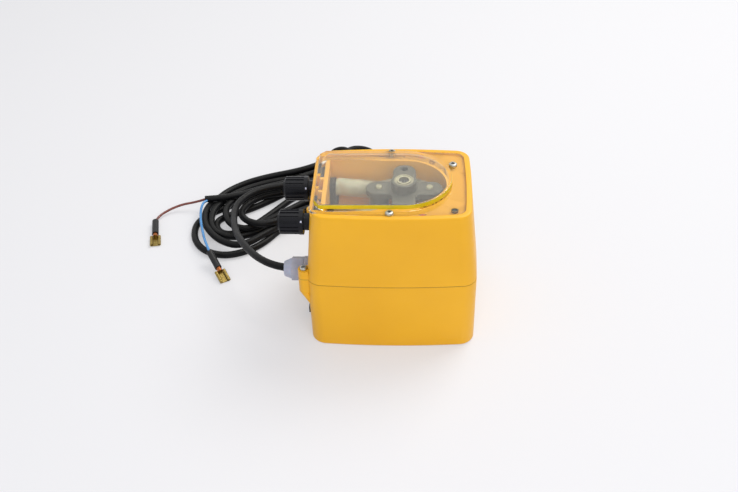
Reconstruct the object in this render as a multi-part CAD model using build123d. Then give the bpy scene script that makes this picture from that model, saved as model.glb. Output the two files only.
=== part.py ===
from build123d import *
from math import pi, radians, tan
import os

# Hose metering pump: gear motor, two-roller rotor, hose in a D-shaped race, clear cover.
# Millimetres. X runs right, Y away from the front face, Z up. The origin is the middle
# of the base. The ports, the cable gland and the housing lugs are on the left (-X) wall.

# ---- housing -------------------------------------------------------------------
SEAM_HALF_X = 66.0          # half width and depth at the corners, along the seam
SEAM_HALF_Y = 50.6
BASE_DRAW_X = 1.0           # how much narrower the base is
BASE_FLARE_Y = 1.3          # how much deeper the base is
RIM_DRAW = 5.3              # how much the rim is drawn in on every side
FACE_BULGE = 3.2            # how far the front and back faces bow out
SIDE_BULGE = 1.3            # how far the side walls bow out
BASE_CORNER_R = 12.7
RIM_CORNER_R = 11.5
SEAM_DROP = 19.6            # from the chamber floor down to the seam
WALL = 3.0
FLOOR_THICK = 6.6           # leaves room for the wall bracket's recess
SEAL_SIZE = 1.2             # square seal in a groove of the lower half
SEAL_INSET = 1.05
SEAL_GAP = 0.1
SEAM_GROOVE = 0.5           # bevel on each half along the seam
BASE_EDGE_R = 1.6
RIM_EDGE_R = 1.4
SPIGOT_H = 4.0              # locating lip of the upper half inside the lower one
SPIGOT_THICK = 1.6
FIT_GAP = 0.15              # clearance of parts that drop into one another
RUN_GAP = 0.06              # radial clearance of shafts and pins in their bores
END_GAP = 0.3               # axial clearance of turning parts

# ---- rotor axis and race ---------------------------------------------------------
AXIS_X = 9.4
RACE_R = 33.0
RACE_FLARE_X = -7.6         # where the race starts to widen
RACE_WIDE_X = -33.0         # where the race has its full width
RACE_HALF_WIDE = 36.6
CROSS_WALL = 3.4            # between the slots and the chamber
CHAMBER_FLOOR_THICK = 3.0
COVER_FLANGE_T = 3.5        # from the rim down to the deck that the cover sits on

# ---- ports -----------------------------------------------------------------------
PORT_Y = 22.4               # distance of each port from the rotor's plane
PORT_HEIGHT = 21.0          # above the chamber floor
SLOT_HALF_Y = 12.2
SLOT_BELOW = 12.5           # reach of a slot below the port
SLOT_WIDTH = 6.2
DECK_THICK = 3.0
RIB_THICK = 3.0             # ribs between the slots and the middle pocket
BOSS_R = 4.0                # bosses under the cover screws
LEFT_WALL = 2.4             # wall left of the slots, at the deck
FLANGE_ABOVE = 12.0
NECK_R = 6.8
NECK_IN = 6.4               # from the nut's outer face to the neck's tip
SPIGOT_R = 2.95
SPIGOT_IN = 5.0
PORT_BORE_R = 1.9
INNER_TUBE_R = 4.6
BARB_R = 4.05
BARB_LENGTH = 14.2
CLIP_THICK = 4.8
CLIP_HALF_Y = 7.0
CLIP_BELOW = 11.0
CLIP_ABOVE = 6.6
CLIP_FOOT = 2.0
CLIP_FOOT_H = 3.0
CLIP_CORNER_R = 4.5

# ---- union nuts --------------------------------------------------------------------
NUT_LENGTH = 19.0
NUT_STANDOFF = 4.66         # between the left wall and the nut
NUT_ROOT_R = 9.1
NUT_RIB_R = 9.8
NUT_RIBS = 16
NUT_RIB_W = 1.9
NUT_FLANGE_R = 10.2
NUT_FLANGE_W = 3.3
NUT_END_WALL = 3.0
NUT_HOSE_R = 4.1
NUT_COLLAR_R = 6.2
NUT_COLLAR_H = 1.2
NUT_THREAD_GAP = 0.1
GRIP_RING_W = 2.8
GRIP_RING_R = 6.6
GRIP_RING_BORE_R = 4.5

# ---- hose --------------------------------------------------------------------------
HOSE_R = 6.5
HOSE_WALL = 2.45
HOSE_RACE_HEIGHT = 16.0     # middle of the pressed hose above the chamber floor
HOSE_RACE_GAP = 0.1         # between the pressed hose and the race
HOSE_PRESSED = 5.2          # thickness of the pressed hose
HOSE_PRESSED_H = 17.6       # height of the pressed hose
HOSE_LEG = (                # stations of a leg: x, distance in y, rise over the race, thickness, height
    (-36.0, 22.4, 5.0, 13.0, 13.0), (-28.0, 23.6, 3.6, 13.0, 13.0), (-20.0, 25.4, 1.6, 13.0, 13.0),
    (-12.0, 26.5, 0.3, 12.2, 13.4), (-4.0, 28.4, 0.0, 8.2, 16.0), (3.0, 29.8, 0.0, 5.8, 17.3),
)

# ---- rotor ---------------------------------------------------------------------------
ROTOR_PLATE_T = 4.2         # of the four-armed plate
HUB_RISE = 7.1              # of the hub above the plate
HUB_R = 9.9
COLUMN_R = 9.0              # between the two plates
HUB_WEB = 1.6               # between the shaft's end and the bearing
PIN_CIRCLE_R = 19.6
ARM_REACH = 29.8
ARM_END_R = 8.4
LOBE_REACH = 30.8
LOBE_END_R = 9.0
LOBE_HOLE_CIRCLE_R = 25.2
LOBE_HOLE_R = 2.8
ARM_FILLET_R = 4.0
ROTOR_BASE_T = 4.0
ROTOR_BASE_END_R = 8.0
ROLLER_R = 7.6
ROLLER_H = 25.7
ROLLER_EDGE = 0.8
PIN_R = 2.0
PIN_HEAD_R = 2.6
PIN_HEAD_H = 1.6
BEARING_R = 7.5
BEARING_H = 5.0
BEARING_BORE_R = 3.9
BEARING_GROOVE = (5.5, 6.4, 0.7)     # inner radius, outer radius, depth
HUB_SCREW_HEAD_R = 3.6
HUB_SCREW_HEAD_H = 3.4
HUB_SOCKET_AF = 4.0
HUB_SOCKET_DEPTH = 2.4
HUB_SCREW_R = 2.0
HUB_SCREW_LENGTH = 14.0
SHAFT_R = 4.0
SHAFT_SEAT = 3.0            # from the gearbox underside to the end of the shaft
BUSH_R = 7.0
BUSH_FLANGE_R = 9.0
BUSH_FLANGE_T = 1.7

# ---- clear cover -----------------------------------------------------------------------
COVER_RIM = 4.2             # width of the housing rim beside the cover
COVER_CORNER_R = 8.0
PLATEAU_IN = 7.8            # from the rim to the plateau, front and back
PLATEAU_RISE = 5.3          # above the rim
HUB_CLEAR = 1.6             # between the hub and the cover
PLATEAU_LEFT = 3.4          # from the rim's left face to the plateau
PLATEAU_CHAMFER_X = 4.4
PLATEAU_CHAMFER_Y = 7.0
COVER_WALL = 2.6
COVER_EDGE_R = 0.9
COVER_SCREW_MID = (-1.0, 3.7)        # place along X, distance in from the front and back rim
COVER_SCREW_RIGHT = (12.9, 23.5)     # distance in from the right rim, place along Y
COVER_SPARE_IN = (12.5, 9.3)         # spare hole: distances in from the right and front rim
COVER_SCREW_R = 1.75
COVER_HEAD_R = 3.3
COVER_HEAD_H = 2.3
COVER_SCREW_LENGTH = 14.0
SPARE_HOLE_R = 2.7
HOOK_X = 24.0               # moulded locating nibs under the cover
HOOK_IN = 4.5
HOOK_SIZE = (6.0, 2.2, 1.6)

# ---- gear motor ----------------------------------------------------------------------------
GEARBOX_SIZE = (70.0, 62.0)
GEARBOX_HEIGHT = 22.0
GEARBOX_CORNER_R = 8.0
GEARBOX_RIB = 1.2
MOTOR_R = 27.0
MOTOR_LENGTH = 36.0
MOTOR_BAND_R = 28.5
MOTOR_BAND_LENGTH = 18.0
MOTOR_TAIL_R = 8.0
MOTOR_TAIL_LENGTH = 4.0
MOTOR_CLEAR = 8.4           # between the motor and the housing floor
MOTOR_SCREW_SPACING = (58.0, 50.0)
MOTOR_SCREW_R = 1.5
MOTOR_HEAD_R = 2.8
MOTOR_HEAD_H = 2.0
MOTOR_SCREW_BITE = 2.4      # how far the screws reach into the chamber floor
TERMINAL_SIZE = (9.0, 24.0, 12.0)
TERMINAL_IN = 15.5          # from the gland's thread to the block's middle
TERMINAL_BELOW = 6.0        # reach of the block below the cable
TERMINAL_RIB = 2.0
TERMINAL_SCREW_R = 1.6
TERMINAL_WAYS = 3
LEAD_SPREAD = 2.2           # between the cores where they leave the sheath
LEAD_STRAIGHT = 2.5         # straight ends of the inner cores
LEAD_BEND_R = 1.6

# ---- cable gland -------------------------------------------------------------------------
GLAND_Y = -14.0
GLAND_Z = 47.3
GLAND_THREAD_R = 7.6
GLAND_BODY_AF = 19.0
GLAND_BODY_W = 5.5
GLAND_SPOT_R = 11.8         # flat that the gland seats on
GLAND_SPOT_DEPTH = 0.6
GLAND_THREAD_LENGTH = 9.4
GLAND_NECK_R = 6.6
GLAND_NECK_W = 7.0
GLAND_NUT_AF = 18.0
GLAND_NUT_W = 9.5
GLAND_DOME_W = 6.6
GLAND_DOME_R = 8.7          # of the dome nut's round end, at its root
GLAND_DOME_TIP_R = 6.0
GLAND_SEAL_R = 5.6
GLAND_SEAL_W = 9.0
GLAND_WALL = 2.1            # wall left between the gland's two flats
LOCKNUT_AF = 22.0
GLAND_CLEAR_R = 14.0        # space for the locknut and its spanner
LOCKNUT_W = 3.5
CABLE_R = 3.15
CABLE_GAP = 0.1
CABLE_OUT = 3.1             # the free part of the cable starts this far beyond the neck
GLAND_HOLE_R = 4.6          # of the dome nut, so that the cable can bend away

# ---- lugs on the left wall -----------------------------------------------------------------
LUG_IN = 10.6               # from the housing's corner line to the lug screws
LUG_STANDOFF = 2.5          # of the lug screws beyond the wall
LUG_R = 4.6
LUG_ABOVE = 7.6             # heights above and below the seam
LUG_BELOW = 13.4
LUG_FOOT_BELOW = 26.9
LUG_SCREW_R = 1.75
LUG_HEAD_R = 3.0
LUG_HEAD_H = 2.2
LUG_SCREW_LENGTH = 16.0

# ---- wall bracket in the base -------------------------------------------------------------
BRACKET_SIZE = (112.0, 44.0)
BRACKET_T = 3.0
BRACKET_CORNER_R = 5.0
BRACKET_SCREW_SPACING = 80.0
BRACKET_HOLE_R = 2.3
BRACKET_HEAD_R = 4.6
BRACKET_HEAD_H = 2.6
TAB_W = 10.0
TAB_Y = -14.0
TAB_OUT = 3.8               # how far the tab stands out of the wall
TAB_RISER_IN = 4.2
TAB_RISER_T = 2.5
TAB_LOW_Z = 4.4
TAB_HIGH_Z = 9.8

# ---- mains cable, cores and terminals -------------------------------------------------------
CORE_R = 1.15
BOOT_R = 3.0
BOOT_LENGTH = 19.5
BOOT_GRIP = 6.0             # how far a core reaches into its boot
CRIMP_R = 2.2
CRIMP_OUT = 3.0             # bare crimp between the boot and the receptacle
RECEPTACLE_W = 10.0         # push-on receptacle
RECEPTACLE_L = 12.0
RECEPTACLE_SHEET = 0.8
RECEPTACLE_CURL_R = 1.5
COIL_HEIGHT = 9.5
COIL_BAND = 25.0            # width of the ring of turns
COIL_EDGE_R = 3.0

# The cable's places have their X measured from where the cable leaves the gland.
COIL_CIRCLES = ((-67.0, 94.5, 37.5), (-59.0, 126.0, 36.0), (44.0, 198.0, 35.0))
LEAD_ROUTE = (
    (0.0, GLAND_Y, GLAND_Z), (-9.2, -12.4, 47.5), (-18.4, -8.1, 47.0), (-27.3, -0.4, 45.4),
    (-36.2, 11.2, 42.6), (-48.5, 33.5, 37.2), (-58.0, 58.0, 30.2), (-64.3, 84.0, 23.8),
    (-66.3, 106.0, 19.8), (-64.3, 117.8, 18.6), (-59.2, 128.3, 18.0), (-51.3, 136.6, 17.7),
    (-40.9, 142.6, 17.4), (-28.7, 146.9, 17.0), (-15.5, 150.6, 16.5), (-1.5, 155.5, 15.4),
    (11.0, 163.0, 13.8), (22.5, 171.0, 12.9), (35.0, 176.5, 12.7),
)
TAIL_ROUTE = (
    (20.0, 190.0, 12.7), (8.0, 181.0, 12.8), (-5.0, 171.0, 13.0), (-17.0, 162.5, 13.2),
    (-28.0, 156.0, 13.2), (-39.0, 151.5, 13.2), (-49.5, 146.8, 13.1), (-59.0, 141.3, 13.0),
    (-68.0, 137.2, 12.9), (-78.0, 134.4, 12.8), (-87.5, 132.5, 12.8), (-96.0, 131.3, 12.8),
)
BROWN_ROUTE = (
    (-96.0, 132.6, 12.8), (-104.0, 131.8, 10.2), (-112.0, 131.6, 8.2), (-120.5, 131.2, 6.6),
    (-128.5, 128.5, 5.0), (-135.6, 123.4, 3.9), (-140.9, 116.8, 3.5),
)
BLUE_ROUTE = (
    (-95.2, 130.4, 12.8), (-99.2, 126.6, 12.9), (-100.2, 119.3, 13.0), (-99.6, 109.5, 13.1),
    (-97.4, 97.0, 13.0), (-93.8, 83.2, 12.7), (-90.0, 70.5, 12.9), (-86.2, 60.8, 12.9),
)
BROWN_BOOT = ((-143.0, 108.4, 3.4), (-139.8, 91.2, 3.1))   # where a boot starts, and a point ahead
BLUE_BOOT = ((-82.3, 52.2, 11.8), (-72.6, 36.2, 6.5))

os.makedirs("parts", exist_ok=True)


# ---- helpers -----------------------------------------------------------------------------
UP = (Align.CENTER, Align.CENTER, Align.MIN)


def rod(radius, low, high, x=0.0, y=0.0):
    """Upright cylinder from one height to another."""
    return Pos(x, y, low) * Cylinder(radius, high - low, align=UP)


def rod_x(radius, x_from, x_to, y, z):
    """Cylinder along X between two stations."""
    low, high = min(x_from, x_to), max(x_from, x_to)
    return Pos(low, y, z) * Rot(0, 90, 0) * Cylinder(radius, high - low, align=UP)


def cone_x(r_from, r_to, x_from, x_to, y, z):
    """Round taper towards -X from its larger end."""
    return Pos(x_from, y, z) * Rot(0, -90, 0) * Cone(r_from, r_to, x_from - x_to, align=UP)


def block(low, high):
    """Box from its lowest to its highest corner."""
    size = [b - a for a, b in zip(low, high)]
    return Pos(*low) * Box(*size, align=(Align.MIN, Align.MIN, Align.MIN))


def hex_x(across_flats, x_from, x_to, y, z):
    """Hexagonal bar along X with a flat on top."""
    low, high = min(x_from, x_to), max(x_from, x_to)
    outline = RegularPolygon(across_flats / 2, 6, major_radius=False)
    return Pos(low, y, z) * Rot(0, 90, 0) * extrude(outline, high - low)


def bowed_face(half_x, half_y, corner_r, z, inset=0.0):
    """Rectangle with bowed sides and round corners, drawn in by an inset."""
    hx, hy = half_x - inset, half_y - inset
    corners = [(-hx, -hy), (hx, -hy), (hx, hy), (-hx, hy)]
    middles = [(0, -hy - FACE_BULGE), (hx + SIDE_BULGE, 0), (0, hy + FACE_BULGE), (-hx - SIDE_BULGE, 0)]
    sides = [ThreePointArc(corners[i], middles[i], corners[(i + 1) % 4]) for i in range(4)]
    face = make_face(sides)
    return Pos(0, 0, z) * fillet(face.vertices(), max(corner_r - inset, 1.0))


def half_x_at(z):
    """Half width of the housing's corners at a height."""
    if z < SEAM_Z:
        return SEAM_HALF_X - BASE_DRAW_X * (1 - z / SEAM_Z)
    return SEAM_HALF_X - RIM_DRAW * (z - SEAM_Z) / (RIM_Z - SEAM_Z)


def half_y_at(z):
    """Half depth of the housing's corners at a height."""
    if z < SEAM_Z:
        return SEAM_HALF_Y + BASE_FLARE_Y * (1 - z / SEAM_Z)
    return SEAM_HALF_Y - RIM_DRAW * (z - SEAM_Z) / (RIM_Z - SEAM_Z)


def section_at(z, inset=0.0):
    """Outline of the housing at a height, drawn in by an inset."""
    corner_r = BASE_CORNER_R + (RIM_CORNER_R - BASE_CORNER_R) * z / RIM_Z
    return bowed_face(half_x_at(z), half_y_at(z), corner_r, z, inset)


def housing_body(low, high, inset=0.0):
    """The tapered body between two heights on one side of the seam."""
    return loft([section_at(low, inset).face(), section_at(high, inset).face()], ruled=True)


def grooved_body(end, seam_side):
    """One half of the housing, drawn in along the seam to form the groove."""
    seam = SEAM_Z + seam_side * SEAM_GROOVE
    faces = [section_at(end).face(), section_at(seam).face(), section_at(SEAM_Z, SEAM_GROOVE).face()]
    return loft(faces, ruled=True)


def left_wall_x(y, z):
    """Outer face of the left wall at a depth and height."""
    return -(half_x_at(z) + SIDE_BULGE * (1 - (y / half_y_at(z)) ** 2))


def race_outline(wall=0.0):
    """D shape about the rotor axis, slightly flared to the left, grown by a wall."""
    radius, wide = RACE_R + wall, RACE_HALF_WIDE + wall
    top = [(AXIS_X, radius), (RACE_FLARE_X, radius), (RACE_WIDE_X, wide), (CHAMBER_LEFT_X, wide)]
    bottom = [(x, -y) for x, y in reversed(top)]
    arc = ThreePointArc(bottom[-1], (AXIS_X + radius, 0), top[0])
    return make_face([Polyline(*top, *bottom), arc])


def pan_head(radius, height):
    """Domed screw head with a cross recess, standing on Z = 0."""
    head = Cylinder(radius, height, align=UP)
    head = fillet(head.edges().group_by(Axis.Z)[-1], height * 0.6)
    slot = Box(radius * 1.1, radius * 0.24, height, align=UP)
    return head - Pos(0, 0, height * 0.45) * (slot + Rot(0, 0, 90) * slot)


def pan_screw(x, y, seat_z, head_r, head_h, shank_r, length):
    """Pan head screw seated at a height, pointing down."""
    return Pos(x, y, seat_z) * pan_head(head_r, head_h) + rod(shank_r, seat_z - length, seat_z, x, y)


def save(name, *shapes):
    """Write one node; several solids stay one compound."""
    solids = [solid for shape in shapes for solid in shape.solids()]
    out = solids[0] if len(solids) == 1 else Compound(children=solids)
    out.label = name
    export_step(out, f"parts/{name}.step")
    return out


# ---- places that several pieces share -----------------------------------------------------
SIDES = (1, -1)
GEARBOX_LOW_Z = FLOOR_THICK + MOTOR_CLEAR + MOTOR_TAIL_LENGTH + MOTOR_LENGTH
GEARBOX_TOP_Z = GEARBOX_LOW_Z + GEARBOX_HEIGHT
CHAMBER_FLOOR_Z = GEARBOX_TOP_Z + CHAMBER_FLOOR_THICK
ROTOR_LOW_Z = CHAMBER_FLOOR_Z + BUSH_FLANGE_T + END_GAP
ROLLER_LOW_Z = ROTOR_LOW_Z + ROTOR_BASE_T + END_GAP
ROLLER_TOP_Z = ROLLER_LOW_Z + ROLLER_H
ROTOR_PLATE_LOW_Z = ROLLER_TOP_Z + END_GAP
ROTOR_PLATE_Z = ROTOR_PLATE_LOW_Z + ROTOR_PLATE_T
HUB_TOP_Z = ROTOR_PLATE_Z + HUB_RISE
BEARING_LOW_Z = HUB_TOP_Z - BEARING_H
SHAFT_TOP_Z = BEARING_LOW_Z - HUB_WEB
SHAFT_BOTTOM_Z = GEARBOX_LOW_Z + SHAFT_SEAT
PLATEAU_TOP_Z = HUB_TOP_Z + HUB_CLEAR + COVER_WALL
RIM_Z = PLATEAU_TOP_Z - PLATEAU_RISE
DECK_Z = RIM_Z - COVER_FLANGE_T
SEAM_Z = CHAMBER_FLOOR_Z - SEAM_DROP
LUG_TOP_Z = SEAM_Z + LUG_ABOVE
LUG_BOTTOM_Z = SEAM_Z - LUG_BELOW
LUG_FOOT_Z = SEAM_Z - LUG_FOOT_BELOW
PORT_Z = CHAMBER_FLOOR_Z + PORT_HEIGHT
SLOT_BOTTOM_Z = PORT_Z - SLOT_BELOW
FLANGE_Z_TOP = PORT_Z + FLANGE_ABOVE
CLIP_BOTTOM_Z = PORT_Z - CLIP_BELOW
CLIP_TOP_Z = PORT_Z + CLIP_ABOVE
HOSE_RACE_Z = CHAMBER_FLOOR_Z + HOSE_RACE_HEIGHT
TERMINAL_LOW_Z = GLAND_Z - TERMINAL_BELOW
RIM_HALF_X = half_x_at(RIM_Z)
RIM_HALF_Y = half_y_at(RIM_Z)
GLAND_SEAT_X = left_wall_x(GLAND_Y, GLAND_Z) + GLAND_SPOT_DEPTH
GLAND_BACK_X = GLAND_SEAT_X + GLAND_WALL
GLAND_INNER_X = GLAND_SEAT_X + GLAND_THREAD_LENGTH
GLAND_NECK_X = GLAND_SEAT_X - GLAND_BODY_W
TERMINAL_X = GLAND_INNER_X + TERMINAL_IN
CABLE_START_X = GLAND_NECK_X - GLAND_NECK_W - CABLE_OUT
LUG_Y = SEAM_HALF_Y - LUG_IN
LUG_OUT = LUG_STANDOFF - left_wall_x(LUG_Y, SEAM_Z)
TAB_OUT_X = left_wall_x(TAB_Y, 0) - TAB_OUT
TAB_RISER_X = left_wall_x(TAB_Y, 0) + TAB_RISER_IN
SLOT_LEFT_X = left_wall_x(0, DECK_Z) + LEFT_WALL
SLOT_RIGHT_X = SLOT_LEFT_X + SLOT_WIDTH
CHAMBER_LEFT_X = SLOT_RIGHT_X + CROSS_WALL
NUT_FACE_X = left_wall_x(PORT_Y, PORT_Z) - NUT_STANDOFF - NUT_LENGTH
NECK_TIP_X = NUT_FACE_X + NECK_IN
SPIGOT_TIP_X = NUT_FACE_X + SPIGOT_IN
CLIP_X = CHAMBER_LEFT_X + FIT_GAP
HOSE_X = CLIP_X + CLIP_THICK + FIT_GAP
BARB_TIP_X = HOSE_X + BARB_LENGTH
PLATEAU_R = RIM_HALF_Y - PLATEAU_IN
PLATEAU_LEFT_X = left_wall_x(0, RIM_Z) + PLATEAU_LEFT
COVER_SCREWS = [(COVER_SCREW_MID[0], side * (RIM_HALF_Y - COVER_SCREW_MID[1])) for side in SIDES]
COVER_SCREWS += [(RIM_HALF_X - COVER_SCREW_RIGHT[0], COVER_SCREW_RIGHT[1])]
COVER_SPARE_HOLE = (RIM_HALF_X - COVER_SPARE_IN[0], COVER_SPARE_IN[1] - RIM_HALF_Y)
HOOK_Y = RIM_HALF_Y - HOOK_IN
HOSE_BORE_R = HOSE_R - HOSE_WALL
HOSE_RACE_Y = RACE_R - HOSE_RACE_GAP - HOSE_PRESSED / 2
NUT_BORE_R = NECK_R + NUT_THREAD_GAP
MOTOR_SCREWS = [(AXIS_X + sx * MOTOR_SCREW_SPACING[0] / 2, sy * MOTOR_SCREW_SPACING[1] / 2)
                for sx in SIDES for sy in SIDES]
BRACKET_SCREWS = [(side * BRACKET_SCREW_SPACING / 2, 0) for side in SIDES]


# ---- housing --------------------------------------------------------------------------------
def seal_ring(low, high, clearance=0.0):
    """Band inside the wall along the seam that the seal lies in."""
    outer = housing_body(low, high, SEAL_INSET - clearance)
    return outer - housing_body(low, high, SEAL_INSET + SEAL_SIZE + clearance)


def lug(side, low, high):
    """Half-round lug that carries a housing screw, with its web into the wall."""
    y = side * LUG_Y
    web_x = left_wall_x(y, SEAM_Z) + WALL / 2
    return rod(LUG_R, low, high, -LUG_OUT, y) + block((-LUG_OUT, y - LUG_R, low), (web_x, y + LUG_R, high))


def lug_foot(side):
    """Taper that runs from the lower lug back into the wall."""
    y = side * LUG_Y
    upper = Pos(-LUG_OUT, y, LUG_BOTTOM_Z) * Circle(LUG_R)
    lower = Pos(left_wall_x(y, LUG_FOOT_Z) + LUG_R, y, LUG_FOOT_Z) * Circle(LUG_R)
    return loft([upper.face(), lower.face()], ruled=True)


def lug_holes(low, high):
    """Clearance holes for the screws that hold the halves together."""
    holes = rod(LUG_SCREW_R + FIT_GAP, low, high, -LUG_OUT, LUG_Y)
    return holes + rod(LUG_SCREW_R + FIT_GAP, low, high, -LUG_OUT, -LUG_Y)


def bracket(gap=0.0):
    """Wall bracket and its springy tab; with a gap, the space that it needs."""
    half_x, half_y = BRACKET_SIZE[0] / 2 + gap, BRACKET_SIZE[1] / 2 + gap
    plate = extrude(RectangleRounded(2 * half_x, 2 * half_y, BRACKET_CORNER_R), BRACKET_T + gap)
    low_y, high_y = TAB_Y - TAB_W / 2 - gap, TAB_Y + TAB_W / 2 + gap
    riser_x = TAB_RISER_X + TAB_RISER_T
    tongue = block((TAB_RISER_X - gap, low_y, 0), (0, high_y, BRACKET_T + gap))
    riser = block((TAB_RISER_X - gap, low_y, 0), (riser_x + gap, high_y, TAB_HIGH_Z + gap))
    lip = block((TAB_OUT_X - gap, low_y, TAB_LOW_Z - gap), (riser_x, high_y, TAB_HIGH_Z + gap))
    return plate + tongue + riser + lip


def make_lower_housing():
    body = grooved_body(0, -1)
    body = fillet(body.edges().group_by(Axis.Z)[0], BASE_EDGE_R)
    for side in SIDES:
        body += lug(side, LUG_BOTTOM_Z, SEAM_Z) + lug_foot(side)
    body -= housing_body(FLOOR_THICK, SEAM_Z, WALL)
    body -= lug_holes(LUG_TOP_Z - LUG_SCREW_LENGTH - FIT_GAP, SEAM_Z)
    body -= seal_ring(SEAM_Z - SEAL_SIZE, SEAM_Z, SEAL_GAP)
    body += block((TAB_RISER_X - WALL, TAB_Y - TAB_W / 2 - WALL, FLOOR_THICK),
                  (TAB_RISER_X + TAB_RISER_T + WALL, TAB_Y + TAB_W / 2 + WALL, TAB_HIGH_Z + WALL))
    body -= bracket(FIT_GAP)
    for x, y in BRACKET_SCREWS:
        body -= rod(BRACKET_HEAD_R, 0, BRACKET_T + BRACKET_HEAD_H, x, y)
    body -= rod_x(GLAND_SPOT_R, GLAND_SEAT_X, GLAND_SEAT_X - WALL, GLAND_Y, GLAND_Z)
    body -= rod_x(GLAND_CLEAR_R, GLAND_BACK_X, GLAND_BACK_X + WALL, GLAND_Y, GLAND_Z)
    body -= rod_x(GLAND_THREAD_R + FIT_GAP, GLAND_SEAT_X - 1, GLAND_BACK_X + 1, GLAND_Y, GLAND_Z)
    for side in SIDES:
        rib_y = GLAND_Y + side * (TERMINAL_SIZE[1] / 2 - TERMINAL_RIB)
        body += block((TERMINAL_X - TERMINAL_SIZE[0] / 2, rib_y - TERMINAL_RIB / 2, FLOOR_THICK),
                      (TERMINAL_X + TERMINAL_SIZE[0] / 2, rib_y + TERMINAL_RIB / 2, TERMINAL_LOW_Z))
    return body


def slots():
    """Pockets in the deck for the connectors, and the middle pocket between them."""
    rib_y = PORT_Y - SLOT_HALF_Y - RIB_THICK
    cut = block((SLOT_LEFT_X, -rib_y, SLOT_BOTTOM_Z), (SLOT_RIGHT_X, rib_y, RIM_Z))
    for side in SIDES:
        y = side * PORT_Y
        cut += block((SLOT_LEFT_X, y - SLOT_HALF_Y, SLOT_BOTTOM_Z), (SLOT_RIGHT_X, y + SLOT_HALF_Y, RIM_Z))
        cut += rod_x(INNER_TUBE_R + FIT_GAP, SLOT_RIGHT_X - 1, CHAMBER_LEFT_X + 1, y, PORT_Z)
        cut += rod_x(NECK_R + FIT_GAP, SLOT_LEFT_X + 1, NUT_FACE_X, y, PORT_Z)
    return cut


def cover_outline(inset, left_x):
    """Rim line drawn in by an inset on three sides, square on the left."""
    half_y = RIM_HALF_Y - inset
    left = Pos(left_x, 0) * Rectangle(RIM_HALF_X, 2 * half_y, align=(Align.MIN, Align.CENTER))
    return Pos(0, 0, -RIM_Z) * section_at(RIM_Z, inset) + left


def inner_hollow():
    """The mould's hollow under the deck, around the race and the bosses."""
    hollow = housing_body(GEARBOX_TOP_Z, DECK_Z - DECK_THICK, WALL)
    hollow -= Pos(0, 0, GEARBOX_TOP_Z) * extrude(race_outline(WALL), RIM_Z)
    hollow -= block((-SEAM_HALF_X * 2, -SEAM_HALF_Y * 2, GEARBOX_TOP_Z),
                    (CHAMBER_LEFT_X, SEAM_HALF_Y * 2, RIM_Z))
    for x, y in COVER_SCREWS:
        hollow -= rod(BOSS_R, GEARBOX_TOP_Z, RIM_Z, x, y)
    return hollow


def make_upper_housing():
    body = grooved_body(RIM_Z, 1)
    body = fillet(body.edges().group_by(Axis.Z)[-1], RIM_EDGE_R)
    lip_inset = WALL + FIT_GAP
    for side in SIDES:
        body += lug(side, SEAM_Z, LUG_TOP_Z)
    body -= lug_holes(SEAM_Z, LUG_TOP_Z)
    body -= housing_body(SEAM_Z, SEAM_Z + SPIGOT_H, lip_inset + SPIGOT_THICK)
    body -= housing_body(SEAM_Z + SPIGOT_H, GEARBOX_TOP_Z, WALL)
    body -= inner_hollow()
    lip = extrude(section_at(SEAM_Z, lip_inset), -SPIGOT_H)
    lip -= extrude(section_at(SEAM_Z, lip_inset + SPIGOT_THICK), -SPIGOT_H)
    lip -= block((-SEAM_HALF_X, GLAND_Y - GLAND_CLEAR_R, 0), (0, GLAND_Y + GLAND_CLEAR_R, SEAM_Z))
    body += lip
    rebate = cover_outline(COVER_RIM, -SEAM_HALF_X)
    body -= Pos(0, 0, DECK_Z) * extrude(rebate, RIM_Z)
    body -= Pos(0, 0, CHAMBER_FLOOR_Z) * extrude(race_outline(), RIM_Z)
    body -= slots()
    for x, y in COVER_SCREWS:
        body -= rod(COVER_SCREW_R + FIT_GAP, RIM_Z - COVER_SCREW_LENGTH - FIT_GAP, RIM_Z, x, y)
    for x, y in MOTOR_SCREWS:
        body -= rod(MOTOR_SCREW_R + FIT_GAP, 0, GEARBOX_TOP_Z + MOTOR_SCREW_BITE, x, y)
    for side in SIDES:
        lx, ly, lz = HOOK_SIZE
        body -= Pos(HOOK_X, side * HOOK_Y, DECK_Z - lz) * Box(lx, ly, lz, align=UP)
    body -= rod(BUSH_R + FIT_GAP, GEARBOX_TOP_Z, CHAMBER_FLOOR_Z, AXIS_X)
    return body


def plateau(inset, low, high):
    """Raised part of the cover: a D with chamfered left corners."""
    radius = PLATEAU_R - inset
    left = PLATEAU_LEFT_X + inset
    chamfer_x = left + PLATEAU_CHAMFER_X
    chamfer_y = radius - PLATEAU_CHAMFER_Y
    top = [(AXIS_X, radius), (chamfer_x, radius), (left, chamfer_y)]
    bottom = [(x, -y) for x, y in reversed(top)]
    arc = ThreePointArc(bottom[-1], (AXIS_X + radius, 0), top[0])
    return Pos(0, 0, low) * extrude(make_face([Polyline(*top, *bottom), arc]), high - low)


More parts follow.
